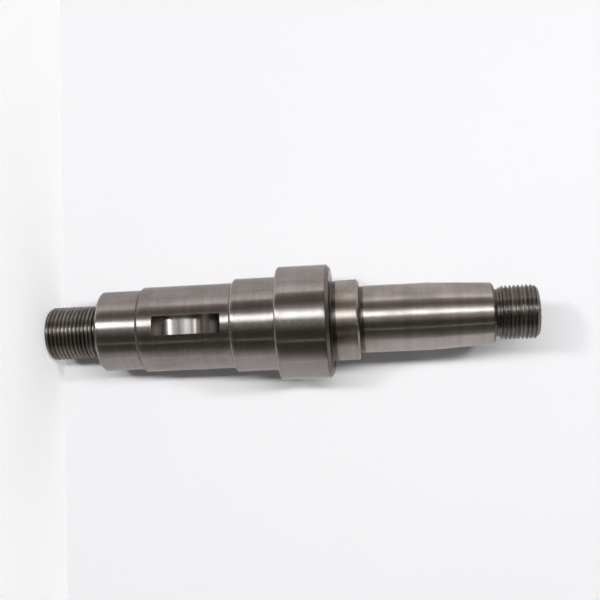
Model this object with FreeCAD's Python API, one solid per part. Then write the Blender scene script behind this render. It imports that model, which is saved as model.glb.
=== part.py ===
import FreeCAD
import Part

import math
import os

# Water pump shaft: one steel bar, turned, ground and keyed. It is drawn along +X from its
# left end face at X = 0, as one closed half-section that is revolved. The key seat is cut
# from above, and the finished bar is then stood on that end face, its pulley end.
# All sizes are in millimetres.

# Threaded ends, M20 x 1.5, drawn at their major diameter.
THREAD_DIAMETER = 20.0
END_CHAMFER = 1.3
LEFT_THREAD_LENGTH = 18.3
RIGHT_THREAD_LENGTH = 13.2

# Thread reliefs between each thread and the shoulder behind it.
RELIEF_DIAMETER = 17.5
RELIEF_LENGTH = 2.7
RELIEF_FILLET = 0.8

# Pulley end: a spacer journal, a keyed hub seat and a bearing seat.
SPACER_DIAMETER = 30.0
SPACER_LENGTH = 15.2
SPACER_CHAMFER = 0.5
HUB_DIAMETER = 32.0
HUB_LENGTH = 35.3
BEARING_DIAMETER = 35.0
BEARING_LENGTH = 16.6
BEARING_CHAMFER = 0.5
BEARING_SHOULDER_FILLET = 0.4

# Flange that the bearings bear against from both sides.
FLANGE_DIAMETER = 42.4
FLANGE_LENGTH = 19.6
FLANGE_LEFT_CHAMFER = 0.5
FLANGE_RIGHT_CHAMFER = 1.3

# Impeller end: a short bearing collar, a long seal seat and a taper.
COLLAR_DIAMETER = 30.0
COLLAR_LENGTH = 10.4
COLLAR_CHAMFER = 0.8
SEAL_DIAMETER = 25.0
SEAL_LENGTH = 25.5
TAPER_LENGTH = 23.5
TAPER_ON_DIAMETER = 1 / 10
TAPER_CHAMFER = 0.8

# Grinding reliefs at the root of the two shoulders that face the impeller: a rounded
# corner, a narrow bottom and a shallow run-out up to the ground surface.
RUN_OUT_ANGLE = math.radians(15)
FLANGE_UNDERCUT_WIDTH = 2.15
FLANGE_UNDERCUT_DEPTH = 0.3
FLANGE_UNDERCUT_FILLET = 0.8
COLLAR_UNDERCUT_WIDTH = 1.7
COLLAR_UNDERCUT_DEPTH = 0.2
COLLAR_UNDERCUT_FILLET = 0.5

# Key seat for a half-moon key, cut by a disc cutter sunk into the hub seat.
KEY_WIDTH = 7.0
KEY_CUTTER_DIAMETER = 28.0
KEY_DEPTH = 8.0
KEY_FROM_HUB_LEFT = 19.1

# Centre holes in both end faces, as the lathe and the grinder left them.
CENTRE_MOUTH_DIAMETER = 5.3
CENTRE_PILOT_DIAMETER = 2.5
CENTRE_PILOT_DEPTH = 5.2
CENTRE_CONE_ANGLE = math.radians(60)
DRILL_TIP_ANGLE = math.radians(118)

# Stations along the axis, from the left end face.
SPACER_LEFT = LEFT_THREAD_LENGTH + RELIEF_LENGTH
HUB_LEFT = SPACER_LEFT + SPACER_LENGTH
BEARING_LEFT = HUB_LEFT + HUB_LENGTH
FLANGE_LEFT = BEARING_LEFT + BEARING_LENGTH
FLANGE_RIGHT = FLANGE_LEFT + FLANGE_LENGTH
COLLAR_RIGHT = FLANGE_RIGHT + COLLAR_LENGTH
TAPER_LEFT = COLLAR_RIGHT + SEAL_LENGTH
TAPER_RIGHT = TAPER_LEFT + TAPER_LENGTH
RIGHT_THREAD_LEFT = TAPER_RIGHT + RELIEF_LENGTH
SHAFT_LENGTH = RIGHT_THREAD_LEFT + RIGHT_THREAD_LENGTH

AXIS = FreeCAD.Vector(1, 0, 0)
ACROSS = FreeCAD.Vector(0, 1, 0)
CENTRE = FreeCAD.Vector(0, 0, 0)


class Outline:
    """Half-section in the XZ plane: X runs along the shaft, Z is the radius."""

    def __init__(self, x, radius):
        self.start = FreeCAD.Vector(x, 0, radius)
        self.at = self.start
        self.edges = []

    def line_to(self, x, radius):
        """A straight edge: a cylinder, a face, a chamfer or a taper once revolved."""
        point = FreeCAD.Vector(x, 0, radius)
        self.edges.append(Part.LineSegment(self.at, point).toShape())
        self.at = point

    def run_to(self, x):
        """A cylinder at the present radius."""
        self.line_to(x, self.at.z)

    def face_to(self, radius):
        """A flat shoulder at the present station."""
        self.line_to(self.at.x, radius)

    def quarter_to(self, x, radius, along_first):
        """A quarter round that leaves along the shaft, or else across it."""
        point = FreeCAD.Vector(x, 0, radius)
        if along_first:
            middle = FreeCAD.Vector(self.at.x, 0, radius)
        else:
            middle = FreeCAD.Vector(x, 0, self.at.z)
        outward = (self.at - middle) + (point - middle)
        through = middle + outward.normalize() * (point - middle).Length
        self.edges.append(Part.Arc(self.at, through, point).toShape())
        self.at = point

    def revolve(self):
        """Close the outline along the axis and turn it into a solid."""
        self.line_to(self.start.x, self.start.z)
        face = Part.Face(Part.Wire(self.edges))
        return face.revolve(CENTRE, AXIS, 360)


def centre_hole_sizes():
    """Depth of the 60 degree cone and of the drill's point, measured from the face."""
    mouth = CENTRE_MOUTH_DIAMETER / 2
    pilot = CENTRE_PILOT_DIAMETER / 2
    cone_depth = (mouth - pilot) / math.tan(CENTRE_CONE_ANGLE / 2)
    tip_depth = CENTRE_PILOT_DEPTH + pilot / math.tan(DRILL_TIP_ANGLE / 2)
    return mouth, pilot, cone_depth, tip_depth


def draw_left_end():
    """Centre hole, end face, thread and thread relief, up to the spacer's shoulder."""
    mouth, pilot, cone_depth, tip_depth = centre_hole_sizes()
    thread = THREAD_DIAMETER / 2
    relief = RELIEF_DIAMETER / 2
    outline = Outline(tip_depth, 0)
    outline.line_to(CENTRE_PILOT_DEPTH, pilot)
    outline.run_to(cone_depth)
    outline.line_to(0, mouth)
    outline.face_to(thread - END_CHAMFER)
    outline.line_to(END_CHAMFER, thread)
    outline.run_to(LEFT_THREAD_LENGTH)
    outline.line_to(LEFT_THREAD_LENGTH + thread - relief, relief)
    outline.run_to(SPACER_LEFT - RELIEF_FILLET)
    outline.quarter_to(SPACER_LEFT, relief + RELIEF_FILLET, along_first=True)
    return outline


def draw_pulley_side(outline):
    """Spacer journal, hub seat and bearing seat, each a step larger than the last."""
    outline.face_to(SPACER_DIAMETER / 2 - SPACER_CHAMFER)
    outline.line_to(SPACER_LEFT + SPACER_CHAMFER, SPACER_DIAMETER / 2)
    outline.run_to(HUB_LEFT)
    hub_lead_in = (HUB_DIAMETER - SPACER_DIAMETER) / 2
    outline.line_to(HUB_LEFT + hub_lead_in, HUB_DIAMETER / 2)
    outline.run_to(BEARING_LEFT)
    chamfered_edge(outline, BEARING_DIAMETER / 2, BEARING_CHAMFER)
    outline.run_to(FLANGE_LEFT - BEARING_SHOULDER_FILLET)
    root = outline.at.z + BEARING_SHOULDER_FILLET
    outline.quarter_to(FLANGE_LEFT, root, along_first=True)
    chamfered_edge(outline, FLANGE_DIAMETER / 2, FLANGE_LEFT_CHAMFER)


def chamfered_edge(outline, radius, chamfer):
    """A shoulder that faces left, up to its chamfered edge."""
    outline.face_to(radius - chamfer)
    outline.line_to(outline.at.x + chamfer, radius)


def undercut_shoulder(outline, radius, chamfer, seat, width, depth, fillet):
    """A shoulder that faces right, chamfered, with a grinding relief at its root."""
    station = outline.at.x + chamfer
    outline.line_to(station, radius - chamfer)
    bottom = seat - depth
    outline.face_to(bottom + fillet)
    outline.quarter_to(station + fillet, bottom, along_first=False)
    outline.run_to(station + width - depth / math.tan(RUN_OUT_ANGLE))
    outline.line_to(station + width, seat)


def draw_impeller_side(outline):
    """The flange's far edge, bearing collar, seal seat and impeller taper."""
    outline.run_to(FLANGE_RIGHT - FLANGE_RIGHT_CHAMFER)
    undercut_shoulder(
        outline,
        radius=FLANGE_DIAMETER / 2,
        chamfer=FLANGE_RIGHT_CHAMFER,
        seat=COLLAR_DIAMETER / 2,
        width=FLANGE_UNDERCUT_WIDTH,
        depth=FLANGE_UNDERCUT_DEPTH,
        fillet=FLANGE_UNDERCUT_FILLET,
    )
    outline.run_to(COLLAR_RIGHT - COLLAR_CHAMFER)
    undercut_shoulder(
        outline,
        radius=COLLAR_DIAMETER / 2,
        chamfer=COLLAR_CHAMFER,
        seat=SEAL_DIAMETER / 2,
        width=COLLAR_UNDERCUT_WIDTH,
        depth=COLLAR_UNDERCUT_DEPTH,
        fillet=COLLAR_UNDERCUT_FILLET,
    )
    outline.run_to(TAPER_LEFT)
    edge = TAPER_RIGHT - TAPER_CHAMFER
    edge_radius = SEAL_DIAMETER / 2 - (edge - TAPER_LEFT) * TAPER_ON_DIAMETER / 2
    outline.line_to(edge, edge_radius)
    outline.line_to(TAPER_RIGHT, edge_radius - TAPER_CHAMFER)


def draw_right_end(outline):
    """Thread relief, thread, end face and centre hole."""
    mouth, pilot, cone_depth, tip_depth = centre_hole_sizes()
    thread = THREAD_DIAMETER / 2
    relief = RELIEF_DIAMETER / 2
    outline.face_to(relief + RELIEF_FILLET)
    outline.quarter_to(TAPER_RIGHT + RELIEF_FILLET, relief, along_first=False)
    outline.run_to(RIGHT_THREAD_LEFT - (thread - relief))
    outline.line_to(RIGHT_THREAD_LEFT, thread)
    outline.run_to(SHAFT_LENGTH - END_CHAMFER)
    outline.line_to(SHAFT_LENGTH, thread - END_CHAMFER)
    outline.face_to(mouth)
    outline.line_to(SHAFT_LENGTH - cone_depth, pilot)
    outline.run_to(SHAFT_LENGTH - CENTRE_PILOT_DEPTH)
    outline.line_to(SHAFT_LENGTH - tip_depth, 0)


def turn_shaft():
    """The bar as it leaves the lathe and the grinder."""
    outline = draw_left_end()
    draw_pulley_side(outline)
    draw_impeller_side(outline)
    draw_right_end(outline)
    return outline.revolve()


def key_cutter():
    """The disc that the key seat is cut with, at its full depth, above the shaft."""
    height = HUB_DIAMETER / 2 - KEY_DEPTH + KEY_CUTTER_DIAMETER / 2
    hub = FreeCAD.Vector(HUB_LEFT + KEY_FROM_HUB_LEFT, -KEY_WIDTH / 2, height)
    return Part.makeCylinder(KEY_CUTTER_DIAMETER / 2, KEY_WIDTH, hub, ACROSS)


def stand_up(shaft):
    """Stand the shaft on its pulley end, with its axis upright and the key seat to the front.

    A round shaft rolls when it lies, and its flat end face is wide enough to stand on.
    """
    upright = FreeCAD.Vector(0, 0, 1)
    leftward = FreeCAD.Vector(-1, 0, 0)
    frontward = FreeCAD.Vector(0, -1, 0)
    turn = FreeCAD.Rotation(upright, leftward, frontward, "XYZ")
    shaft.Placement = FreeCAD.Placement(FreeCAD.Vector(0, 0, 0), turn)
    return shaft


def main():
    turned = turn_shaft()
    shaft = turned.cut(key_cutter()).Solids[0]
    along = shaft.CenterOfMass.x
    print(f"length {SHAFT_LENGTH:.2f} mm, centre of mass at {along:.2f} mm")
    foot = THREAD_DIAMETER / 2 - END_CHAMFER
    print(f"foot radius {foot:.2f} mm, tips at {math.degrees(math.atan2(foot, along)):.2f} degrees")
    shaft = stand_up(shaft)
    box = shaft.BoundBox
    print(f"box {box.XMin:.3f} {box.XMax:.3f} {box.YMin:.3f} {box.YMax:.3f}")
    print(f"height {box.ZMin:.3f} {box.ZMax:.3f}, valid {shaft.isValid()}")
    print(f"volume {shaft.Volume:.1f} cubic mm")
    os.makedirs("parts", exist_ok=True)
    shaft.exportStep("parts/pump_shaft.step")


main()
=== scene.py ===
"""Looks of a bare ground-steel water pump shaft that stands on its end before a pale backdrop."""

import logging
import math
from dataclasses import dataclass, field
from enum import Enum
from typing import Optional

import bmesh
import bpy
import numpy as np
from mathutils import Matrix, Vector


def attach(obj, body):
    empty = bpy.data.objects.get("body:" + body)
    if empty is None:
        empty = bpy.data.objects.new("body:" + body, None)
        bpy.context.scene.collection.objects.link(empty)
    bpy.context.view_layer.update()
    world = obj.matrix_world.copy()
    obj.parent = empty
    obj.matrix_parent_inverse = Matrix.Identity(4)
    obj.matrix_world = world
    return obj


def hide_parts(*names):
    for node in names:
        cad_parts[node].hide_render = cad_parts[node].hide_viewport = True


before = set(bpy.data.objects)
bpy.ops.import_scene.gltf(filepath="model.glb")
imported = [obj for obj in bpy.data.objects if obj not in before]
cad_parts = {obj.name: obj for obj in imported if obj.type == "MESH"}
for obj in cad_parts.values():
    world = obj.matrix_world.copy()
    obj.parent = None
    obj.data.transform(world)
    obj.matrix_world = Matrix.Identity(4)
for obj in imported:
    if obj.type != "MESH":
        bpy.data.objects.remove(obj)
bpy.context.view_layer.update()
MM = 0.001
LOG = logging.getLogger("pump_shaft_scene")
Socket = bpy.types.NodeSocket
# Class names of a group's inputs by the type of their default value, where None is a material's
SOCKETS = {float: "NodeSocketFloat", int: "NodeSocketInt", type(None): "NodeSocketMaterial"}


class Surface(Enum):
    """How each stretch of the shaft was finished, as its material slot's number; the relief slot's dark
    colour is painted shade.
    """

    GROUND = 0
    TURNED = 1
    THREAD = 2
    MILLED = 3
    SEAT = 4
    EDGE = 5
    COLLAR = 6
    # Grooves and fillets at the feet of shoulders, darkened as painted shade
    RELIEF_SHADE = 7


@dataclass(frozen=True)
class Relief:
    """A grinding relief at the foot of a shoulder, in millimetres; the slope is its run out."""

    depth: float
    length: float
    slope: float
    fillet: float


@dataclass(frozen=True)
class ShaftSizes:
    """Driving dimensions: stations from the pulley end's face, radii and chamfers, in millimetres."""

    length: float = 183.0
    thread_radius: float = 10.0
    thread_end_radius: float = 8.7
    pulley_thread_end: float = 19.55
    impeller_thread_start: float = 168.55
    thread_relief_radius: float = 8.75
    thread_relief_fillet: float = 0.8
    spacer_left: float = 21.0
    spacer_radius: float = 15.0
    hub_left: float = 36.2
    hub_radius: float = 16.0
    hub_chamfer: float = 1.0
    bearing_left: float = 71.5
    bearing_radius: float = 17.5
    flange_left: float = 88.1
    flange_right: float = 107.7
    flange_radius: float = 21.2
    flange_right_chamfer: float = 1.3
    small_chamfer: float = 0.5
    corner_fillet: float = 0.4
    collar_right: float = 118.1
    collar_radius: float = 15.0
    collar_relief: Relief = Relief(depth=0.3, length=2.15, slope=1.12, fillet=0.8)
    collar_chamfer: float = 0.8
    seal_radius: float = 12.5
    seal_relief: Relief = Relief(depth=0.2, length=1.7, slope=0.75, fillet=0.5)
    taper_left: float = 143.6
    taper_length: float = 22.7
    taper_ratio: float = 10.0
    taper_right: float = 167.1
    taper_chamfer: float = 0.8
    centre_mouth_radius: float = 2.65
    centre_pilot_radius: float = 1.25
    centre_cone_depth: float = 2.425
    centre_pilot_depth: float = 5.2
    centre_tip_depth: float = 5.951
    key_width: float = 7.0
    key_cutter_radius: float = 14.0
    key_depth: float = 8.0
    key_centre: float = 55.3

    @property
    def taper_end_radius(self) -> float:
        """Radius at the small end of the taper."""
        return self.seal_radius - self.taper_length / self.taper_ratio / 2


@dataclass(frozen=True)
class Stand:
    """How the shaft stands on its pulley end, and where the table behind it is.

    The photograph looks down on the same shaft, which lies tipped on two of its rims. That
    table is the backdrop here: a plane that touches the same two rims behind the shaft.
    """

    sizes: ShaftSizes

    @property
    def low_along(self) -> float:
        """Station of the rim near the pulley end that the table touches."""
        return self.sizes.spacer_left + self.sizes.small_chamfer

    @property
    def high_along(self) -> float:
        """Station of the flange's rim that the table touches."""
        return self.sizes.flange_left + self.sizes.small_chamfer

    @property
    def lean(self) -> float:
        """Angle between the shaft's axis and the backdrop, in radians."""
        rise = self.sizes.flange_radius - self.sizes.spacer_radius
        return math.atan2(rise, self.high_along - self.low_along)

    def upright(self) -> Matrix:
        """Takes a point of the shaft, with X along its axis and Z through its key seat, to the row frame.

        Returns:
            A turn that stands X up and brings Z to the front.
        """
        return Matrix(((0, -1, 0, 0), (0, 0, -1, 0), (1, 0, 0, 0), (0, 0, 0, 1)))

    def table(self) -> Matrix:
        """Takes a point of the photograph's table, in metres with Z out of it, to the row frame.

        Returns:
            The 4 by 4 placement of the backdrop, the lights and the camera.
        """
        lift = self.sizes.flange_radius * math.cos(self.lean) - self.high_along * math.sin(self.lean)
        start = Vector((-self.sizes.length / 2 * math.cos(self.lean), 0.0, lift)) * MM
        lying = Matrix.Translation(start) @ Matrix.Rotation(-self.lean, 4, "Y")
        return self.upright() @ lying.inverted()


@dataclass(frozen=True)
class Tree:
    """A material's, group's, world's or modifier's node tree, written out in short calls."""

    tree: bpy.types.NodeTree

    def add(self, kind: str, inputs: Optional[dict] = None, **settings: object) -> bpy.types.Node:
        """Adds a node, sets its own properties and feeds its inputs.

        Args:
            kind: The node's class name.
            inputs: Sockets or values by the names of the inputs.
            settings: Property names and values.

        Returns:
            The new node.
        """
        node = self.tree.nodes.new(kind)
        for name, value in settings.items():
            setattr(node, name, value)
        for name, value in (inputs or {}).items():
            self.put(value, node.inputs[name])
        return node

    def put(self, source: object, target: Socket) -> None:
        """Links a socket, or sets a plain value, on an input.

        Args:
            source: An output socket, a number or a sequence of numbers.
            target: The input that takes it.
        """
        if isinstance(source, Socket):
            self.tree.links.new(source, target)
        else:
            target.default_value = source

    def fill(self, node: bpy.types.Node, *values: object) -> bpy.types.Node:
        """Puts sockets or values on a node's first inputs.

        Args:
            node: The node.
            values: One for each input, in order.

        Returns:
            The same node.
        """
        for value, target in zip(values, node.inputs):
            self.put(value, target)
        return node

    def math(self, operation: str, *values: object) -> Socket:
        """The result of one Math operation on sockets or numbers."""
        return self.fill(self.add("ShaderNodeMath", operation=operation), *values).outputs[0]

    def times(self, first: object, second: object) -> Socket:
        """The product of two sockets or numbers."""
        return self.math("MULTIPLY", first, second)

    def plus(self, first: object, second: object) -> Socket:
        """The sum of two sockets or numbers."""
        return self.math("ADD", first, second)

    def minus(self, first: object, second: object) -> Socket:
        """The first socket or number less the second."""
        return self.math("SUBTRACT", first, second)

    def gap(self, first: object, second: object) -> Socket:
        """How far two sockets or numbers are apart."""
        return self.math("ABSOLUTE", self.minus(first, second))

    def held(self, value: object, low: object, high: object) -> Socket:
        """A socket or number, kept between two others."""
        return self.math("MINIMUM", self.math("MAXIMUM", value, low), high)

    def parted(self, vector: Socket) -> tuple:
        """The sockets of a vector's X, Y and Z."""
        return tuple(self.fill(self.add("ShaderNodeSeparateXYZ"), vector).outputs)

    def joined(self, *parts: object) -> Socket:
        """The vector whose X, Y and Z are these sockets or numbers."""
        return self.fill(self.add("ShaderNodeCombineXYZ"), *parts).outputs[0]

    def ramp(self, value: object, low: float, high: float, out_low: object, out_high: object) -> Socket:
        """A clamped, smooth Map Range.

        Args:
            value: What is mapped.
            low: Input that gives out_low.
            high: Input that gives out_high.
            out_low: First result.
            out_high: Last result.

        Returns:
            The result's socket.
        """
        node = self.add("ShaderNodeMapRange", interpolation_type="SMOOTHSTEP")
        return self.fill(node, value, low, high, out_low, out_high).outputs["Result"]

    def blend(self, factor: object, first: object, second: object) -> Socket:
        """Mixes two colours.

        Args:
            factor: Share of the second one.
            first: A colour or its socket.
            second: A colour or its socket.

        Returns:
            The mixed colour's socket.
        """
        node = self.add("ShaderNodeMix", data_type="RGBA")
        colours = [socket for socket in node.inputs if socket.type == "RGBA"]
        for value, target in zip((factor, first, second), (node.inputs[0], *colours)):
            self.put(value, target)
        return next(socket for socket in node.outputs if socket.type == "RGBA")

    def spot(self) -> Socket:
        """Object coordinates, in metres, whose Z runs up the shaft's axis."""
        return self.add("ShaderNodeTexCoord").outputs["Object"]

    def stretched(self, vector: Socket, factors: tuple) -> Socket:
        """A vector, scaled axis by axis."""
        node = self.add("ShaderNodeVectorMath", operation="MULTIPLY")
        return self.fill(node, vector, factors).outputs["Vector"]

    def noise(self, vector: object, scale: float, detail: float, roughness: float) -> Socket:
        """A noise value from 0 to 1.

        Args:
            vector: Where it is sampled.
            scale: Features a metre.
            detail: Octaves.
            roughness: How strong the finer octaves are.

        Returns:
            The value's socket.
        """
        inputs = {"Vector": vector, "Scale": scale, "Detail": detail, "Roughness": roughness}
        return self.add("ShaderNodeTexNoise", inputs, noise_dimensions="3D").outputs["Fac"]


def new_group(name: str, kind: str, inputs: dict, outputs: dict) -> tuple:
    """Starts a node group.

    Args:
        name: The group's name.
        kind: The class name of its tree.
        inputs: Default values by input name, where None is a material's.
        outputs: The sockets' class names by output name.

    Returns:
        A Tree on the group, the outputs of its input node and the inputs of its output node.
    """
    group = bpy.data.node_groups.new(name, kind)
    for label, value in inputs.items():
        socket = group.interface.new_socket(label, in_out="INPUT", socket_type=SOCKETS[type(value)])
        if value is not None:
            socket.default_value = value
    for label, socket_type in outputs.items():
        group.interface.new_socket(label, in_out="OUTPUT", socket_type=socket_type)
    tree = Tree(group)
    return tree, tree.add("NodeGroupInput").outputs, tree.add("NodeGroupOutput").inputs


def new_material(name: str) -> tuple:
    """Starts a material.

    Args:
        name: Its name.

    Returns:
        The material, and a Tree on its node tree, which is empty.
    """
    made = bpy.data.materials.new(name)
    made.use_nodes = True
    made.node_tree.nodes.clear()
    return made, Tree(made.node_tree)


def placed(name: str, data: bpy.types.ID) -> bpy.types.Object:
    """Puts a new object into the scene.

    Args:
        name: Its name.
        data: Its mesh, light or camera.

    Returns:
        The object.
    """
    made = bpy.data.objects.new(name, data)
    bpy.context.scene.collection.objects.link(made)
    return made


def baked(piece: bpy.types.Object, modifier: bpy.types.Modifier) -> bpy.types.Mesh:
    """Takes a modifier off and keeps what it makes.

    Args:
        piece: The object that has it.
        modifier: The only modifier there.

    Returns:
        The plain mesh.
    """
    ready = piece.evaluated_get(bpy.context.evaluated_depsgraph_get())
    made = bpy.data.meshes.new_from_object(ready)
    piece.modifiers.remove(modifier)
    return made


@dataclass(frozen=True)
class Marks:
    """Small marks that lie in patches: features a metre, and the noise levels where they fade in."""

    size: float
    stretch: tuple
    edge: tuple
    patches: float
    patch_edge: tuple

    def mask(self, tree: Tree, spot: Socket) -> Socket:
        """Where the marks are.

        Args:
            tree: The tree that it goes into.
            spot: Where the noise is sampled.

        Returns:
            The mask's socket, from 0 to 1.
        """
        marks = tree.noise(tree.stretched(spot, self.stretch), self.size, 1.0, 0.5)
        patch = tree.noise(spot, self.patches, 2.0, 0.5)
        patch = tree.ramp(patch, *self.patch_edge, 0.0, 1.0)
        return tree.times(tree.ramp(marks, *self.edge, 0.0, 1.0), patch)


@dataclass(frozen=True)
class MetalEffects:
    """The node groups that every finish of the shaft is mixed from; sizes are features a metre."""

    fine_share: float = 0.7
    streak_edge: tuple = (0.35, 0.68)
    cloud_size: float = 70.0
    cloud_stretch: tuple = (1.0, 1.0, 0.7)
    cloud_edge: tuple = (0.42, 0.66)
    grain_size: float = 420.0
    grain_stretch: tuple = (1.3, 1.3, 0.5)
    grain_edge: tuple = (0.3, 0.7)
    scratches: Marks = Marks(900.0, (0.35, 0.35, 3.2), (0.72, 0.78), patches=120.0, patch_edge=(0.56, 0.64))
    nicks: Marks = Marks(1100.0, (1.0, 1.0, 0.8), (0.7, 0.76), patches=85.0, patch_edge=(0.52, 0.6))

    def round_marks(self) -> bpy.types.NodeTree:
        """Marks that run round the shaft, as the grinding wheel and the lathe leave them.

        Returns:
            The group, with a Height and a Streak from 0 to 1.
        """
        inputs = {"Fine": 4200.0, "Broad": 260.0, "Waver": 14.0}
        outputs = {"Height": "NodeSocketFloat", "Streak": "NodeSocketFloat"}
        tree, given, out = new_group("round_marks", "ShaderNodeTree", inputs, outputs)
        x, y, z = tree.parted(tree.spot())
        levels = []
        for name, detail in (("Fine", 2.0), ("Broad", 3.0)):
            spot = tree.joined(
                tree.times(x, given["Waver"]), tree.times(y, given["Waver"]), tree.times(z, given[name])
            )
            levels.append(tree.noise(spot, 1.0, detail, 0.6))
        fine = tree.times(levels[0], self.fine_share)
        broad = tree.times(levels[1], 1.0 - self.fine_share)
        tree.put(tree.plus(fine, broad), out["Height"])
        tree.put(tree.ramp(levels[1], *self.streak_edge, 0.0, 1.0), out["Streak"])
        return tree.tree

    def handling(self) -> bpy.types.NodeTree:
        """Oil film, finger smudges, a few short scratches and small nicks.

        Returns:
            The group, with Smudge, Scratch and Nick masks from 0 to 1.
        """
        outputs = dict.fromkeys(("Smudge", "Scratch", "Nick"), "NodeSocketFloat")
        tree, given, out = new_group("handling", "ShaderNodeTree", {"Amount": 1.0}, outputs)
        spot = tree.spot()
        cloud = tree.noise(tree.stretched(spot, self.cloud_stretch), self.cloud_size, 4.0, 0.55)
        grain = tree.noise(tree.stretched(spot, self.grain_stretch), self.grain_size, 3.0, 0.6)
        smudge = tree.ramp(cloud, *self.cloud_edge, 0.0, 1.0)
        smudge = tree.times(smudge, tree.ramp(grain, *self.grain_edge, 0.5, 1.0))
        tree.put(tree.times(smudge, given["Amount"]), out["Smudge"])
        tree.put(self.scratches.mask(tree, spot), out["Scratch"])
        tree.put(self.nicks.mask(tree, spot), out["Nick"])
        return tree.tree


@dataclass(frozen=True)
class Steel:
    """One finish of the shaft's steel; fine and broad are marks a metre along the axis."""

    name: str
    pale: tuple
    dark: tuple
    roughness: float
    roughness_swing: float = 0.1
    anisotropy: float = 1.0
    fine: float = 5200.0
    broad: float = 420.0
    bump: float = 0.2
    bump_height: float = 0.02
    smudge: float = 1.0
    smudge_tone: tuple = (0.17, 0.15, 0.13, 1.0)
    smudge_share: float = 0.5
    smudge_roughness: float = 0.05
    scratch_tone: tuple = (0.09, 0.08, 0.075, 1.0)
    scratch_share: float = 0.25
    scratch_depth: float = 0.02
    grazing_tint: tuple = (0.78, 0.75, 0.73, 1.0)

    def material(self, effects: dict) -> bpy.types.Material:
        """Builds the node material.

        Args:
            effects: The shared node groups by name.

        Returns:
            The material.
        """
        made, tree = new_material(self.name)
        inputs = {"Fine": self.fine, "Broad": self.broad}
        marks = tree.add("ShaderNodeGroup", inputs, node_tree=effects["round_marks"]).outputs
        hands = tree.add("ShaderNodeGroup", {"Amount": self.smudge}, node_tree=effects["handling"]).outputs
        scratch = tree.math("MAXIMUM", hands["Scratch"], hands["Nick"])
        tone = tree.blend(marks["Streak"], self.dark, self.pale)
        tone = tree.blend(tree.times(hands["Smudge"], self.smudge_share), tone, self.smudge_tone)
        tone = tree.blend(tree.times(scratch, self.scratch_share), tone, self.scratch_tone)
        rough = tree.times(tree.minus(marks["Height"], 0.5), self.roughness_swing)
        smeared = tree.times(hands["Smudge"], self.smudge_roughness)
        rough = tree.plus(tree.plus(rough, self.roughness), smeared)
        height = tree.minus(marks["Height"], tree.times(scratch, self.scratch_depth))
        inputs = {"Distance": self.bump_height * MM, "Strength": self.bump, "Height": height}
        bump = tree.add("ShaderNodeBump", inputs)
        tangent = tree.add("ShaderNodeTangent", direction_type="UV_MAP", uv_map="along")
        inputs = {
            "Base Color": tone,
            "Metallic": 1.0,
            "Roughness": rough,
            "Anisotropic": self.anisotropy,
            "Specular Tint": self.grazing_tint,
            "Normal": bump.outputs["Normal"],
            "Tangent": tangent.outputs[0],
        }
        shader = tree.add("ShaderNodeBsdfPrincipled", inputs)
        tree.add("ShaderNodeOutputMaterial", {"Surface": shader.outputs["BSDF"]})
        return made


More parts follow.
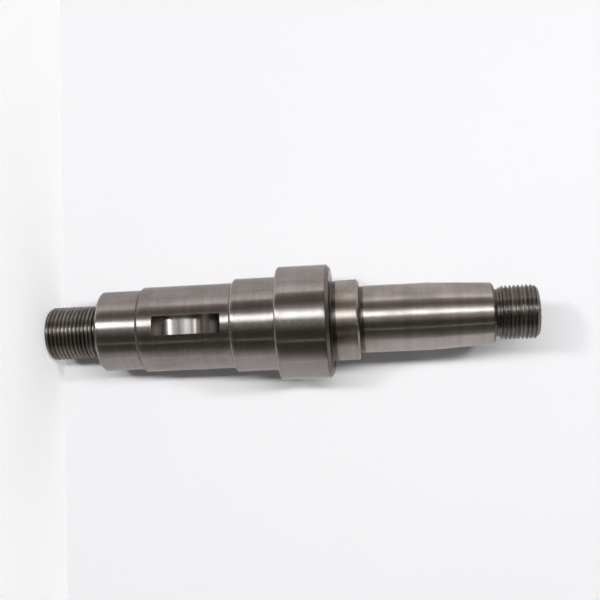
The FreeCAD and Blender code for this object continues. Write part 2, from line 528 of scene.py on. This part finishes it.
@dataclass
class Profile:
    """Half-section of the shaft: stations along the axis and radii, in millimetres."""

    points: list = field(default_factory=list)
    finishes: list = field(default_factory=list)
    broken_edge: float = 0.12
    longest_facet: float = 1.2

    @property
    def half_edge(self) -> float:
        """How far the round of a broken edge stands back from its corner."""
        return 0.5 * self.broken_edge

    @property
    def edge_start(self) -> float:
        """How far the round of a broken edge has gone along its chamfer."""
        return 0.35 * self.broken_edge

    def to(self, along: float, radius: float, finish: Surface = Surface.TURNED) -> None:
        """A straight run to a new point.

        Args:
            along: Station from the left end face.
            radius: Distance from the axis.
            finish: How the surface between the last point and this one was made.
        """
        if self.points:
            self.finishes.append(finish)
        self.points.append((along, radius))

    def run(self, along: float, radius: float, finish: Surface) -> None:
        """A long run, divided so that its facets stay short.

        Args:
            along: Where it ends.
            radius: Radius where it ends.
            finish: How it was made.
        """
        start, start_radius = self.points[-1]
        count = max(1, math.ceil(abs(along - start) / self.longest_facet))
        for k in range(1, count + 1):
            share = k / count
            self.to(start + (along - start) * share, start_radius + (radius - start_radius) * share, finish)

    def rounded(self, along: float, radius: float, along_first: bool, parts: int = 6) -> None:
        """A quarter round to a new point.

        Args:
            along: Station where it ends.
            radius: Radius where it ends.
            along_first: Whether it leaves along the axis, or else across it.
            parts: Facets in the round.
        """
        start_along, start_radius = self.points[-1]
        for k in range(1, parts + 1):
            turn = math.pi / 2 * k / parts
            near, far = math.sin(turn), 1 - math.cos(turn)
            if not along_first:
                near, far = far, near
            spot = start_along + (along - start_along) * near
            # These fillet faces take the relief slot, whose dark colour is painted shade
            self.to(spot, start_radius + (radius - start_radius) * far, Surface.RELIEF_SHADE)

    def relieved(self, along: float, radius: float, relief: Relief) -> None:
        """From a shoulder's face over a grinding relief to the start of a seat.

        Args:
            along: Station of the face.
            radius: The seat's radius.
            relief: The relief's sizes.
        """
        low, end = radius - relief.depth, along + relief.length
        self.to(along, low + relief.fillet)
        self.rounded(along + relief.fillet, low, False)
        # The relief's floor takes the relief slot, whose dark colour is painted shade
        self.to(end - relief.slope, low, Surface.RELIEF_SHADE)
        self.to(end, radius)

    def rise(self, along: float, radius: float, chamfer: float) -> None:
        """Up a shoulder and over its chamfer, whose two edges are slightly broken.

        Args:
            along: Station of the shoulder's face.
            radius: Radius after it.
            chamfer: Size of the 45 degree chamfer.
        """
        edge = self.broken_edge
        self.to(along, radius - chamfer - edge)
        self.to(along + self.half_edge, radius - chamfer + self.edge_start)
        self.to(along + chamfer - self.edge_start, radius - self.half_edge, Surface.EDGE)
        self.to(along + chamfer + edge, radius, Surface.EDGE)

    def fall(self, along: float, radius: float, chamfer: float, finish: Surface, bevel: Surface) -> None:
        """Along a seat and down over the chamfer at its end, whose two edges are slightly broken.

        Args:
            along: Station of the face after the chamfer.
            radius: Radius before it.
            chamfer: Size of the 45 degree chamfer.
            finish: How the seat was made.
            bevel: How the chamfer was made.
        """
        edge = self.broken_edge
        self.run(along - chamfer - edge, radius, finish)
        self.to(along - chamfer + self.edge_start, radius - self.half_edge, bevel)
        self.to(along - self.half_edge, radius - chamfer + self.edge_start, bevel)
        self.to(along, radius - chamfer - edge)


@dataclass
class ScrewThread:
    """A right-hand metric fine thread on one end of the shaft, made by Geometry Nodes."""

    name: str
    low: float
    high: float
    chamfer_low: float
    chamfer_high: float
    major_radius: float
    pitch: float = 1.5
    depth: float = 0.92
    root_share: float = 0.4375
    flank_angle: float = 30.0
    columns: int = 192
    rows: int = 12
    weld: float = 0.0005

    def inputs(self) -> dict:
        """Sizes that the tree takes, by the names of its inputs.

        Returns:
            This thread's values.
        """
        return {
            "Low": self.low,
            "High": self.high,
            "Low Radius": self.chamfer_low,
            "High Radius": self.chamfer_high,
            "Major Radius": self.major_radius,
            "Pitch": self.pitch,
            "Depth": self.depth,
            "Columns": self.columns,
            "Rows a Pitch": self.rows,
        }

    def tree(self) -> bpy.types.NodeTree:
        """The tree: a grid laid round the axis, whose rows lean by one pitch a turn.

        Returns:
            The geometry node group.
        """
        inputs = {**self.inputs(), "Finish": None}
        tree, given, out = new_group(
            "screw_thread", "GeometryNodeTree", inputs, {"Thread": "NodeSocketGeometry"}
        )
        turns = tree.math("DIVIDE", tree.minus(given["High"], given["Low"]), given["Pitch"])
        turns = tree.plus(tree.math("CEIL", turns), 2.0)
        grid_inputs = {
            "Vertices X": tree.plus(given["Columns"], 1.0),
            "Vertices Y": tree.plus(tree.times(turns, given["Rows a Pitch"]), 1.0),
            "Size X": 1.0,
            "Size Y": 1.0,
        }
        grid = tree.add("GeometryNodeMeshGrid", grid_inputs).outputs["Mesh"]
        x, y, _ = tree.parted(tree.add("GeometryNodeInputPosition").outputs[0])
        round_share = tree.plus(x, 0.5)
        turn = tree.times(round_share, math.tau)
        reach = tree.times(tree.times(turns, given["Pitch"]), tree.plus(y, 0.5))
        lead = tree.times(tree.minus(round_share, 1.0), given["Pitch"])
        along = tree.plus(given["Low"], tree.plus(reach, lead))
        phase = tree.math("FRACT", tree.math("DIVIDE", reach, given["Pitch"]))
        flank = tree.times(tree.minus(self.root_share, tree.gap(phase, 0.5)), given["Pitch"])
        drop = tree.math("DIVIDE", flank, math.tan(math.radians(self.flank_angle)))
        radius = tree.minus(given["Major Radius"], tree.held(drop, 0.0, given["Depth"]))
        held = tree.held(along, given["Low"], given["High"])
        from_low = tree.plus(given["Low Radius"], tree.minus(held, given["Low"]))
        from_high = tree.plus(given["High Radius"], tree.minus(given["High"], held))
        radius = tree.math("MINIMUM", radius, tree.math("MINIMUM", from_low, from_high))
        sine, cosine = tree.math("SINE", turn), tree.math("COSINE", turn)
        spot = tree.joined(held, tree.times(radius, sine), tree.times(radius, cosine))
        move = tree.add("GeometryNodeSetPosition", {"Geometry": grid, "Position": spot})
        weld = tree.add("GeometryNodeMergeByDistance", {"Geometry": move.outputs[0], "Distance": self.weld})
        real = tree.add("GeometryNodeRealizeInstances", {"Geometry": weld.outputs[0]})
        finish = {"Geometry": real.outputs[0], "Material": given["Finish"]}
        dress = tree.add("GeometryNodeSetMaterial", finish)
        tree.put(dress.outputs[0], out["Thread"])
        return tree.tree

    def mesh(self, group: bpy.types.NodeTree, finish: bpy.types.Material) -> bpy.types.Mesh:
        """Runs the tree for this thread and keeps its plain mesh, in millimetres along the axis.

        Args:
            group: The geometry node group.
            finish: The thread's material.

        Returns:
            The open sleeve's mesh.
        """
        blank = bpy.data.meshes.new(self.name)
        carrier = placed(self.name, blank)
        modifier = carrier.modifiers.new("thread", "NODES")
        modifier.node_group = group
        values = {**self.inputs(), "Finish": finish}
        for item in group.interface.items_tree:
            if item.item_type == "SOCKET" and item.in_out == "INPUT":
                modifier[item.identifier] = values[item.name]
        made = baked(carrier, modifier)
        bpy.data.objects.remove(carrier)
        bpy.data.meshes.remove(blank)
        return made


@dataclass
class PumpShaft:
    """The one turned piece: journals, flange, collar, taper, threads and key seat."""

    sizes: ShaftSizes
    stand: Stand
    columns: int = 192
    cutter_segments: int = 192
    sharp_angle: float = 24.0
    weld: float = 0.0008

    def end_profile(self) -> Profile:
        """End face and centre hole of the pulley end.

        Returns:
            The part of the half-section to the left of the pulley thread.
        """
        size = self.sizes
        line = Profile()
        line.to(size.centre_tip_depth, 0.0)
        line.to(size.centre_pilot_depth, size.centre_pilot_radius)
        line.to(size.centre_cone_depth, size.centre_pilot_radius)
        line.to(line.broken_edge, size.centre_mouth_radius - line.broken_edge / 2)
        line.to(0.0, size.centre_mouth_radius + line.broken_edge)
        line.to(0.0, (size.centre_mouth_radius + size.thread_end_radius) / 2)
        line.to(0.0, size.thread_end_radius)
        return line

    def middle_profile(self) -> Profile:
        """Everything between the two threads.

        Returns:
            That part of the half-section, from left to right.
        """
        size = self.sizes
        line = Profile()
        self.pulley_side(line)
        line.to(size.flange_right, (size.collar_radius + size.flange_radius) / 2)
        line.relieved(size.flange_right, size.collar_radius, size.collar_relief)
        line.fall(size.collar_right, size.collar_radius, size.collar_chamfer, Surface.COLLAR, Surface.EDGE)
        line.relieved(size.collar_right, size.seal_radius, size.seal_relief)
        line.run(size.taper_left, size.seal_radius, Surface.SEAT)
        self.impeller_taper(line)
        return line

    def pulley_side(self, line: Profile) -> None:
        """Thread relief, spacer journal, hub seat, bearing seat and flange.

        Args:
            line: The half-section, which is still empty.
        """
        size = self.sizes
        fillet = size.thread_relief_fillet
        line.to(size.pulley_thread_end, size.thread_relief_radius)
        line.run(size.spacer_left - fillet, size.thread_relief_radius, Surface.TURNED)
        line.rounded(size.spacer_left, size.thread_relief_radius + fillet, True)
        line.to(size.spacer_left, (size.thread_relief_radius + size.spacer_radius) / 2)
        line.rise(size.spacer_left, size.spacer_radius, size.small_chamfer)
        line.run(size.hub_left, size.spacer_radius, Surface.GROUND)
        edge = line.broken_edge
        lift = edge - line.edge_start
        line.to(size.hub_left + edge, size.spacer_radius + lift)
        line.to(size.hub_left + size.hub_chamfer - edge, size.hub_radius - lift, Surface.EDGE)
        line.to(size.hub_left + size.hub_chamfer + edge, size.hub_radius)
        line.run(size.bearing_left - size.corner_fillet, size.hub_radius, Surface.GROUND)
        line.rounded(size.bearing_left, size.hub_radius + size.corner_fillet, True, 4)
        line.rise(size.bearing_left, size.bearing_radius, size.small_chamfer)
        line.run(size.flange_left - size.corner_fillet, size.bearing_radius, Surface.GROUND)
        line.rounded(size.flange_left, size.bearing_radius + size.corner_fillet, True, 4)
        line.to(size.flange_left, (size.bearing_radius + size.flange_radius) / 2)
        line.rise(size.flange_left, size.flange_radius, size.small_chamfer)
        bevel = size.flange_right_chamfer
        line.fall(size.flange_right, size.flange_radius, bevel, Surface.GROUND, Surface.TURNED)

    def impeller_taper(self, line: Profile) -> None:
        """The taper and the thread relief behind it.

        Args:
            line: The half-section, which has come to the end of the seal seat.
        """
        size = self.sizes
        edge = line.broken_edge
        small = size.taper_end_radius
        fillet = size.thread_relief_fillet
        end = size.taper_left + size.taper_length
        line.run(end - edge, small, Surface.SEAT)
        line.to(end + line.edge_start, small - line.half_edge)
        line.to(size.taper_right - line.half_edge, small - size.taper_chamfer + line.edge_start)
        line.to(size.taper_right, small - size.taper_chamfer - edge)
        line.to(size.taper_right, size.thread_relief_radius + fillet)
        line.rounded(size.taper_right + fillet, size.thread_relief_radius, False)
        line.run(size.impeller_thread_start, size.thread_relief_radius, Surface.TURNED)

    def far_profile(self) -> Profile:
        """End face and centre hole of the impeller end, a mirror image of the pulley end's.

        Returns:
            The part of the half-section to the right of the impeller thread.
        """
        line = Profile()
        for along, radius in reversed(self.end_profile().points):
            line.to(self.sizes.length - along, radius)
        return line

    def revolve(self, body: bmesh.types.BMesh, line: Profile) -> None:
        """Turns a profile into rings of faces.

        Args:
            body: The mesh that takes them, in millimetres along the axis.
            line: The half-section.
        """
        rings = []
        for along, radius in line.points:
            if radius == 0.0:
                rings.append([body.verts.new((along, 0.0, 0.0))])
                continue
            ring = []
            for k in range(self.columns):
                turn = math.tau * k / self.columns
                ring.append(body.verts.new((along, radius * math.sin(turn), radius * math.cos(turn))))
            rings.append(ring)
        for low, high, finish in zip(rings, rings[1:], line.finishes):
            for k in range(self.columns):
                after = (k + 1) % self.columns
                corners = [low[k % len(low)], low[after % len(low)]]
                corners += [high[after % len(high)], high[k % len(high)]]
                face = body.faces.new(list(dict.fromkeys(corners)))
                face.material_index = finish.value
                face.smooth = True

    def add_threads(self, body: bmesh.types.BMesh, finish: bpy.types.Material) -> None:
        """Adds the sleeves of both threads.

        Args:
            body: The mesh that takes them, in millimetres along the axis.
            finish: The threads' material.
        """
        size = self.sizes
        end, relief, crest = size.thread_end_radius, size.thread_relief_radius, size.thread_radius
        pulley = ScrewThread("pulley_thread", 0.0, size.pulley_thread_end, end, relief, crest)
        impeller = ScrewThread(
            "impeller_thread", size.impeller_thread_start, size.length, relief, end, crest
        )
        group = pulley.tree()
        for thread in (pulley, impeller):
            sleeve = thread.mesh(group, finish)
            before = len(body.faces)
            body.from_mesh(sleeve)
            body.faces.ensure_lookup_table()
            for face in body.faces[before:]:
                face.material_index = Surface.THREAD.value
                face.smooth = True
            LOG.info("%s: %d faces", thread.name, len(body.faces) - before)
            bpy.data.meshes.remove(sleeve)

    def build(self, finishes: list) -> bpy.types.Object:
        """Makes the whole shaft as one closed mesh.

        Args:
            finishes: The materials, in the order of Surface.

        Returns:
            The finished object.
        """
        body = bmesh.new()
        for line in (self.end_profile(), self.middle_profile(), self.far_profile()):
            self.revolve(body, line)
        self.add_threads(body, finishes[Surface.THREAD.value])
        bmesh.ops.remove_doubles(body, verts=body.verts, dist=self.weld)
        bmesh.ops.recalc_face_normals(body, faces=body.faces)
        mesh = bpy.data.meshes.new("pump_shaft_steel")
        for finish in finishes:
            mesh.materials.append(finish)
        body.to_mesh(mesh)
        body.free()
        piece = placed("pump_shaft_steel", mesh)
        self.cut_key_seat(piece)
        mesh = piece.data
        self.lay_uv(mesh)
        mesh.transform(self.stand.upright() @ Matrix.Scale(MM, 4))
        mesh.set_sharp_from_angle(angle=math.radians(self.sharp_angle))
        open_edges = self.count_open_edges(mesh)
        LOG.info("shaft: %d faces, %d open edges", len(mesh.polygons), open_edges)
        return piece

    def cut_key_seat(self, piece: bpy.types.Object) -> None:
        """Sinks the half-moon key seat with a disc, as its cutter does.

        Args:
            piece: The shaft, still in millimetres along its axis.
        """
        size = self.sizes
        radius = size.key_cutter_radius
        height = size.hub_radius - size.key_depth + radius
        cutter = bmesh.new()
        bmesh.ops.create_cone(
            cutter,
            cap_ends=True,
            cap_tris=False,
            segments=self.cutter_segments,
            radius1=radius,
            radius2=radius,
            depth=size.key_width,
        )
        place = Matrix.Translation((size.key_centre, 0.0, height))
        cutter.transform(place @ Matrix.Rotation(math.pi / 2, 4, "X"))
        for face in cutter.faces:
            face.smooth = len(face.verts) == 4
        disc = bpy.data.meshes.new("key_seat_cutter")
        cutter.to_mesh(disc)
        cutter.free()
        disc.materials.append(piece.data.materials[Surface.MILLED.value])
        tool = placed("key_seat_cutter", disc)
        cut = piece.modifiers.new("key_seat", "BOOLEAN")
        cut.operation = "DIFFERENCE"
        cut.solver = "EXACT"
        cut.material_mode = "TRANSFER"
        cut.object = tool
        done = baked(piece, cut)
        old = piece.data
        piece.data = done
        bpy.data.objects.remove(tool)
        bpy.data.meshes.remove(disc)
        bpy.data.meshes.remove(old)
        done.name = "pump_shaft_steel"

    def lay_uv(self, mesh: bpy.types.Mesh) -> None:
        """Writes a UV map whose U runs along the axis and V round it.

        Args:
            mesh: The shaft's mesh, in millimetres along its axis.
        """
        layer = mesh.uv_layers.new(name="along")
        place = np.zeros(len(mesh.vertices) * 3)
        mesh.vertices.foreach_get("co", place)
        place = place.reshape(-1, 3)
        corners = np.zeros(len(mesh.loops), int)
        mesh.loops.foreach_get("vertex_index", corners)
        spot = place[corners]
        share = np.arctan2(spot[:, 1], spot[:, 2]) / math.tau
        uv = np.stack([spot[:, 0] / self.sizes.length, share], axis=1)
        for face in mesh.polygons:
            loops = slice(face.loop_start, face.loop_start + face.loop_total)
            v = uv[loops, 1]
            if v.max() - v.min() > 0.5:
                uv[loops, 1] = np.where(v < 0.0, v + 1.0, v)
        layer.data.foreach_set("uv", uv.astype(np.float32).ravel())

    @staticmethod
    def count_open_edges(mesh: bpy.types.Mesh) -> int:
        """Edges that don't have exactly two faces.

        Args:
            mesh: The mesh that is looked at.

        Returns:
            Their number, 0 on a closed mesh.
        """
        seen = bmesh.new()
        seen.from_mesh(mesh)
        count = sum(1 for edge in seen.edges if len(edge.link_faces) != 2)
        seen.free()
        return count


@dataclass(frozen=True)
class Softbox:
    """One rectangular studio light: degrees from straight above the table, metres and watts."""

    name: str
    toward_right: float
    toward_back: float
    width: float
    depth: float
    power: float
    distance: float = 1.0
    colour: tuple = (0.985, 0.985, 1.0)

    def build(self, target: Vector, table: Matrix) -> None:
        """Hangs the light and aims it.

        Args:
            target: Point over the table that it is aimed at.
            table: Takes the table's own frame to the row frame.
        """
        lamp = bpy.data.lights.new(self.name, "AREA")
        lamp.shape = "RECTANGLE"
        lamp.size = self.width
        lamp.size_y = self.depth
        lamp.energy = self.power
        lamp.color = self.colour
        side = math.tan(math.radians(self.toward_right))
        back = math.tan(math.radians(self.toward_back))
        way = Vector((side, back, 1.0)).normalized()
        holder = placed(self.name, lamp)
        turn = way.to_track_quat("Z", "Y").to_matrix().to_4x4()
        holder.matrix_world = table @ Matrix.Translation(target + way * self.distance) @ turn
        holder.visible_glossy = False


@dataclass(frozen=True)
class Window:
    """A bright window that the metal mirrors: a patch of directions, which fades out over its reach."""

    along: float
    slope: float
    reach: tuple
    light: float
    half_width: float = 0.04
    side_blur: float = 0.04

    def pane(self, tree: Tree, along: Socket, slope: Socket) -> Socket:
        """Where the window is seen.

        Args:
            tree: The world's tree.
            along: How far a direction goes along the shaft.
            slope: How far it goes back for each step out of the table.

        Returns:
            The mask's socket, from 0 to 1.
        """
        aside = tree.gap(along, self.along)
        across = tree.ramp(aside, self.half_width, self.half_width + self.side_blur, 1.0, 0.0)
        return tree.times(across, tree.ramp(tree.gap(slope, self.slope), *self.reach, 1.0, 0.0))


@dataclass(frozen=True)
class MirroredRoom:
    """What the metal mirrors: a room that is dark straight out from the backdrop and paler along it.

    Directions are in the table's frame, with X along the shaft, Y back and Z out of the table.
    Over a span or an edge one tone passes into another, and over a reach a light fades out.
    """

    front_dark: tuple = (0.07, 0.069, 0.05, 1.0)
    back_dark: tuple = (0.17, 0.14, 0.125, 1.0)
    low_wall: tuple = (0.70, 0.685, 0.67, 1.0)
    high_wall: tuple = (1.35, 1.30, 1.27, 1.0)
    halo: tuple = (0.95, 0.93, 0.90, 1.0)
    core: tuple = (6.0, 6.6, 6.8, 1.0)
    weak_core: tuple = (1.7, 1.8, 1.82, 1.0)
    side_wall: tuple = (0.9, 0.88, 0.86, 1.0)
    rail: tuple = (1.2, 1.2, 1.0, 1.0)
    windows: tuple = (
        Window(along=-0.524, slope=0.25, reach=(0.10, 0.17), light=13.0),
        Window(along=0.676, slope=0.175, reach=(0.03, 0.10), light=20.0),
    )
    back_blend: float = 0.3
    wall_edge: tuple = (0.41, 0.43)
    wall_slant: float = 0.105
    wall_sink: tuple = (0.02, 0.2)
    wall_sink_span: tuple = (-0.3, 0.1)
    overhead_span: tuple = (0.25, 0.6)
    rise_span: tuple = (-0.05, 0.45)
    least_wall: float = 0.12
    side_span: tuple = (-0.9, -0.75)
    lamp_ends: tuple = (0.6, 0.8)
    lamp_slope: tuple = (0.38, 0.165)
    lamp_slope_span: tuple = (-0.5, -0.2)
    halo_reach: tuple = (0.05, 0.62)
    halo_share: float = 0.85
    core_reach: tuple = (0.03, 0.17)
    weak_core_span: tuple = (-0.2, 0.1)
    rail_slope: float = 0.9
    rail_reach: tuple = (0.01, 0.04)
    rail_share: float = 0.8
    least_out: float = 0.01

    def walls(self, tree: Tree, along: Socket, back: Socket, out_way: Socket) -> Socket:
        """The dark part overhead and the pale walls in front and behind.

        Args:
            tree: The world's tree.
            along: How far a direction goes along the shaft.
            back: How far it goes back.
            out_way: How far it goes out of the table.

        Returns:
            The colour's socket.
        """
        behind = tree.ramp(back, -self.back_blend, self.back_blend, 0.0, 1.0)
        in_front = tree.minus(1.0, behind)
        sink = tree.ramp(along, *self.wall_sink_span, *self.wall_sink)
        height = tree.minus(out_way, tree.times(back, self.wall_slant))
        height = tree.plus(height, tree.times(sink, in_front))
        aside = tree.ramp(tree.math("ABSOLUTE", back), *self.overhead_span, self.least_wall, 1.0)
        wall = tree.times(tree.ramp(height, *self.wall_edge, 1.0, 0.0), aside)
        dark = tree.blend(behind, self.front_dark, self.back_dark)
        rise = tree.times(behind, tree.ramp(out_way, *self.rise_span, self.least_wall, 1.0))
        return tree.blend(wall, dark, tree.blend(rise, self.low_wall, self.high_wall))

    def lamp(self, tree: Tree, along: Socket, slope: Socket, tone: Socket) -> Socket:
        """The long lamp overhead, with its halo.

        Args:
            tree: The world's tree.
            along: How far a direction goes along the shaft.
            slope: How far it goes back for each step out of the table.
            tone: The room's colour without it.

        Returns:
            The colour's socket.
        """
        middle = tree.ramp(tree.math("ABSOLUTE", along), *self.lamp_ends, 1.0, 0.0)
        away = tree.gap(slope, tree.ramp(along, *self.lamp_slope_span, *self.lamp_slope))
        halo = tree.times(tree.ramp(away, *self.halo_reach, self.halo_share, 0.0), middle)
        core = tree.times(tree.ramp(away, *self.core_reach, 1.0, 0.0), middle)
        light = tree.blend(tree.ramp(along, *self.weak_core_span, 0.0, 1.0), self.core, self.weak_core)
        return tree.blend(core, tree.blend(halo, tone, self.halo), light)

    def tone(self, tree: Tree, way: Socket) -> Socket:
        """The whole room.

        Args:
            tree: The world's tree.
            way: Direction in the table's frame.

        Returns:
            The colour's socket.
        """
        along, back, out_way = tree.parted(way)
        slope = tree.math("DIVIDE", back, tree.math("MAXIMUM", out_way, self.least_out))
        tone = self.lamp(tree, along, slope, self.walls(tree, along, back, out_way))
        in_front = tree.ramp(back, -self.back_blend, self.back_blend, 1.0, 0.0)
        side = tree.times(tree.ramp(along, *self.side_span, 1.0, 0.0), in_front)
        tone = tree.blend(side, tone, self.side_wall)
        for window in self.windows:
            light = (window.light, window.light, window.light, 1.0)
            tone = tree.blend(window.pane(tree, along, slope), tone, light)
        rail = tree.gap(slope, -self.rail_slope)
        return tree.blend(tree.ramp(rail, *self.rail_reach, self.rail_share, 0.0), tone, self.rail)


@dataclass(frozen=True)
class Studio:
    """Backdrop, floor, lights, surroundings and camera, placed in the frame of the photograph's table."""

    table: Matrix
    room: MirroredRoom = MirroredRoom()
    boxes: tuple = (
        Softbox("right_softbox", toward_right=43.0, toward_back=10.0, width=0.10, depth=0.10, power=2.9),
        Softbox("left_softbox", toward_right=-32.0, toward_back=10.0, width=0.10, depth=0.10, power=1.8),
        Softbox("strip_softbox", toward_right=0.0, toward_back=7.5, width=1.3, depth=0.08, power=8.3),
    )
    target: Vector = field(default_factory=lambda: Vector((4.08, 0.0, 21.75)) * MM)
    focal_pixels: float = 924.0
    picture: int = 600
    distance: float = 346.5
    pitch: float = 6.0
    roll: float = -2.32
    below_centre: float = 22.3
    floor_glow: float = 0.33
    floor_glow_behind: float = 0.7
    sheet_half: float = 3.0
    behind_span: tuple = (0.02, 0.12)
    far_span: tuple = (0.35, 0.8)
    far_glow: float = 0.9
    pale_tone: tuple = (0.80, 0.795, 0.80, 1.0)
    paler_tone: tuple = (0.83, 0.825, 0.83, 1.0)
    even_grey: tuple = (0.16, 0.158, 0.16, 1.0)
    far_wall: tuple = (0.93, 0.925, 0.93, 1.0)

    def camera(self) -> None:
        """Looks nearly straight down, at the photograph's framing."""
        pitch, roll = math.radians(self.pitch), math.radians(self.roll)
        back = Vector((0.0, -math.sin(pitch), math.cos(pitch)))
        level_up = Vector((0.0, math.cos(pitch), math.sin(pitch)))
        level_right = Vector((1.0, 0.0, 0.0))
        right = level_right * math.cos(roll) + level_up * math.sin(roll)
        up = level_up * math.cos(roll) - level_right * math.sin(roll)
        spot = self.target + back * self.distance * MM
        spot += up * self.below_centre / self.focal_pixels * self.distance * MM
        lens = bpy.data.cameras.new("photo_camera")
        lens.sensor_width = 36.0
        lens.lens = self.focal_pixels / self.picture * lens.sensor_width
        lens.clip_start = 0.01
        holder = placed("photo_camera", lens)
        turn = Matrix((right, up, back)).transposed()
        holder.matrix_world = self.table @ Matrix.Translation(spot) @ turn.to_4x4()
        bpy.context.scene.camera = holder

    def pale(self, name: str, glow: float, glow_behind: float) -> bpy.types.Material:
        """A plain pale surface with a faint unevenness, which can't be seen from its back.

        Args:
            name: The material's name.
            glow: Light that it gives off by itself near the shaft; far off it is nearly all its light.
            glow_behind: The same behind the backdrop, where the lamps are far.

        Returns:
            The material.
        """
        made, tree = new_material(name)
        tone = tree.blend(tree.noise(tree.spot(), 9.0, 3.0, 0.5), self.pale_tone, self.paler_tone)
        x, y, _ = tree.parted(tree.spot())
        behind = tree.ramp(y, *self.behind_span, glow, glow_behind)
        away = tree.math("SQRT", tree.plus(tree.times(x, x), tree.times(y, y)))
        far = tree.ramp(away, *self.far_span, behind, self.far_glow)
        inputs = {
            "Base Color": tone,
            "Roughness": 0.85,
            "Specular IOR Level": 0.2,
            "Emission Color": tree.blend(far, (0.0, 0.0, 0.0, 1.0), tone),
            "Emission Strength": 1.0,
        }
        shader = tree.add("ShaderNodeBsdfPrincipled", inputs)
        back = tree.add("ShaderNodeNewGeometry").outputs["Backfacing"]
        clear = tree.add("ShaderNodeBsdfTransparent")
        pick = tree.fill(tree.add("ShaderNodeMixShader"), back, shader.outputs[0], clear.outputs[0])
        tree.add("ShaderNodeOutputMaterial", {"Surface": pick.outputs[0]})
        return made

    def plane(self, name: str, place: Matrix, finish: bpy.types.Material) -> bpy.types.Object:
        """A wide square that isn't part of the shaft.

        Args:
            name: Its name.
            place: Where its own frame goes.
            finish: Its material.

        Returns:
            The staged object.
        """
        mesh = bpy.data.meshes.new(name)
        half = self.sheet_half
        corners = [(-half, -half, 0), (half, -half, 0), (half, half, 0), (-half, half, 0)]
        mesh.from_pydata(corners, [], [(0, 1, 2, 3)])
        mesh.transform(place)
        mesh.materials.append(finish)
        sheet = placed(name, mesh)
        return sheet

    def ground(self) -> None:
        """The backdrop behind the shaft, and the floor under it, which the metal doesn't mirror."""
        self.plane("backdrop", self.table, self.pale("pale_backdrop", 0.0, 0.0))
        finish = self.pale("pale_floor", self.floor_glow, self.floor_glow_behind)
        floor = self.plane("floor", Matrix.Identity(4), finish)
        floor.visible_glossy = False
        floor.visible_diffuse = False
        floor.visible_shadow = False

    def surroundings(self) -> None:
        """The room for the metal, an even grey for all else, and a pale wall past the floor's end."""
        world = bpy.data.worlds.new("studio_room")
        bpy.context.scene.world = world
        world.cycles.sampling_method = "NONE"
        world.use_nodes = True
        world.node_tree.nodes.clear()
        tree = Tree(world.node_tree)
        way = tree.add("ShaderNodeTexCoord").outputs["Generated"]
        inputs = {"Vector": way, "Rotation": self.table.to_3x3().transposed().to_euler()}
        turn = tree.add("ShaderNodeMapping", inputs, vector_type="VECTOR")
        tone = self.room.tone(tree, turn.outputs[0])
        path = tree.add("ShaderNodeLightPath").outputs
        tone = tree.blend(path["Is Diffuse Ray"], tone, self.even_grey)
        tone = tree.blend(path["Is Camera Ray"], tone, self.far_wall)
        glow = tree.add("ShaderNodeBackground", {"Color": tone, "Strength": 1.0})
        tree.add("ShaderNodeOutputWorld", {"Surface": glow.outputs[0]})

    def lights(self) -> None:
        """Two small softboxes that throw the end shadows, and a long one."""
        for box in self.boxes:
            box.build(self.target, self.table)

    def build(self) -> None:
        """Sets everything round the shaft."""
        self.ground()
        self.surroundings()
        self.lights()
        self.camera()
        bpy.context.scene.view_settings.view_transform = "Standard"


def finishes() -> list:
    """The shaft's materials.

    Returns:
        The materials, in the order of Surface.
    """
    makers = MetalEffects()
    effects = {"round_marks": makers.round_marks(), "handling": makers.handling()}
    ground = Steel(
        name="ground_steel",
        pale=(0.30, 0.272, 0.264, 1.0),
        dark=(0.268, 0.242, 0.232, 1.0),
        roughness=0.24,
        bump=0.15,
    )
    turned = Steel(
        name="turned_steel",
        pale=(0.17, 0.153, 0.145, 1.0),
        dark=(0.10, 0.09, 0.085, 1.0),
        roughness=0.28,
        roughness_swing=0.2,
        anisotropy=0.6,
        fine=3000.0,
        broad=700.0,
        bump=0.4,
        smudge=0.7,
    )
    thread = Steel(
        name="thread_steel",
        pale=(0.30, 0.272, 0.255, 1.0),
        dark=(0.16, 0.143, 0.131, 1.0),
        roughness=0.3,
        roughness_swing=0.2,
        anisotropy=0.85,
        fine=2500.0,
        broad=500.0,
        bump=0.3,
        smudge=0.8,
    )
    milled = Steel(
        name="milled_steel",
        pale=(0.25, 0.23, 0.22, 1.0),
        dark=(0.18, 0.165, 0.156, 1.0),
        roughness=0.2,
        roughness_swing=0.12,
        anisotropy=0.3,
        fine=1500.0,
        broad=600.0,
        bump=0.4,
        smudge=0.6,
    )
    seat = Steel(
        name="seat_steel",
        pale=(0.40, 0.36, 0.345, 1.0),
        dark=(0.35, 0.314, 0.297, 1.0),
        roughness=0.29,
        broad=380.0,
        bump=0.15,
    )
    edge = Steel(
        name="edge_steel",
        pale=(0.42, 0.39, 0.37, 1.0),
        dark=(0.3, 0.275, 0.26, 1.0),
        roughness=0.24,
        anisotropy=0.2,
        broad=900.0,
        bump=0.2,
    )
    collar = Steel(
        name="collar_steel",
        pale=(0.51, 0.445, 0.41, 1.0),
        dark=(0.45, 0.39, 0.355, 1.0),
        roughness=0.4,
        broad=500.0,
    )
    # Painted shade: this very dark colour stands in for the shade in the grooves and fillets at the feet of
    # the shoulders
    relief = Steel(
        name="relief_painted_shade_steel",
        pale=(0.09, 0.078, 0.07, 1.0),
        dark=(0.05, 0.043, 0.038, 1.0),
        roughness=0.34,
        anisotropy=0.4,
        broad=900.0,
    )
    kinds = (ground, turned, thread, milled, seat, edge, collar, relief)
    return [kind.material(effects) for kind in kinds]


def main() -> None:
    """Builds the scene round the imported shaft."""
    logging.basicConfig(level=logging.INFO, format="%(message)s")
    shaft = ShaftSizes()
    stand = Stand(shaft)
    piece = PumpShaft(shaft, stand).build(finishes())
    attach(piece, "root")
    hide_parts("pump_shaft")
    Studio(stand.table()).build()
    LOG.info("pump shaft: %d vertices", len(piece.data.vertices))


if __name__ == "__main__":
    main()
